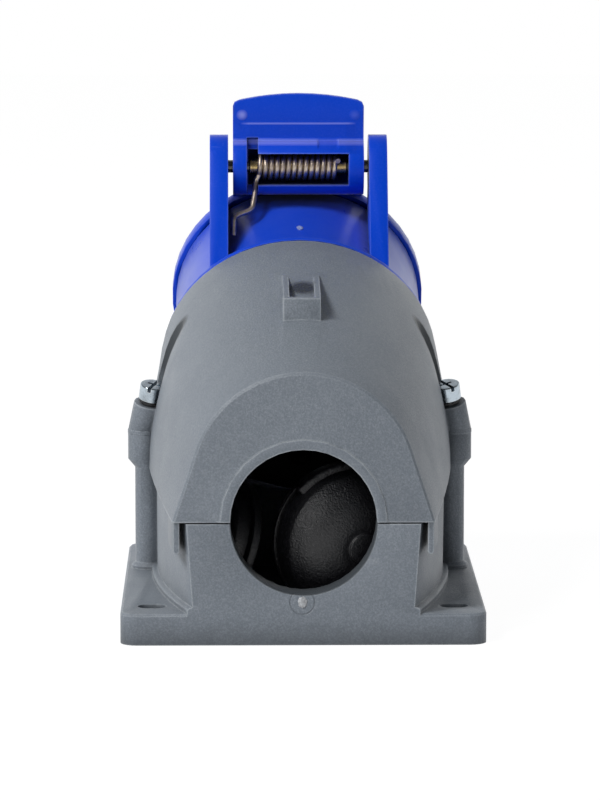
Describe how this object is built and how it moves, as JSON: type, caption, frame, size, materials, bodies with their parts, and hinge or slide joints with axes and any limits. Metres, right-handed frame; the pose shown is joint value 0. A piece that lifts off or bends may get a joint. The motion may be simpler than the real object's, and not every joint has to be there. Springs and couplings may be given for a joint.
{
  "type": "industrial wall socket",
  "caption": "Angled surface-mounted industrial wall socket, two poles and earth, with a sprung hinged lid and a round cable entry in its foot.",
  "frame": {"origin": "centre of the flat rear of the flange, on the wall plane", "axes": "+Z away from the wall, +Y from the cable entry towards the socket mouth, +X to the right seen from the cable side with the wall below"},
  "size_m": [0.086, 0.1266, 0.1231],
  "materials": {
    "grey_plastic": "fine spark-eroded matte, light grey-blue",
    "blue_plastic": "satin mid blue",
    "black_plastic": "matte black",
    "black_rubber": "smooth black rubber",
    "zinc_plated_steel": "bright zinc plate",
    "nickel_plated_brass": "nickel plated",
    "spring_steel": "bare spring wire"
  },
  "bodies": {
    "housing": {"base_housing": "grey_plastic", "cover_housing": "grey_plastic", "socket_body": "blue_plastic", "contact_carrier": "black_plastic", "terminal_block": "black_plastic", "cable_grommet": "black_rubber", "blanking_plug": "black_rubber", "socket_gasket": "black_rubber", "housing_seal_left": "black_rubber", "housing_seal_right": "black_rubber", "screw_seal_left": "black_rubber", "screw_seal_right": "black_rubber", "cover_screw_left": "zinc_plated_steel", "cover_screw_right": "zinc_plated_steel", "block_screw": "zinc_plated_steel", "line_terminal_screw": "zinc_plated_steel", "neutral_terminal_screw": "zinc_plated_steel", "earth_terminal_screw": "zinc_plated_steel", "line_sleeve": "nickel_plated_brass", "neutral_sleeve": "nickel_plated_brass", "earth_sleeve": "nickel_plated_brass", "torsion_spring": "spring_steel", "hinge_pin": "spring_steel"},
    "lid": {"lid": "blue_plastic", "lid_seal": "black_rubber"}
  },
  "joints": [
    {"name": "lid_hinge", "type": "hinge", "parent": "housing", "child": "lid", "pos_m": [0, 0.04243, 0.10452], "axis": [1, 0, 0], "range_deg": [0, 110], "stiffness_Nm_per_rad": 0.05, "springref_deg": -74.48, "deforming": ["torsion_spring"]}
  ]
}
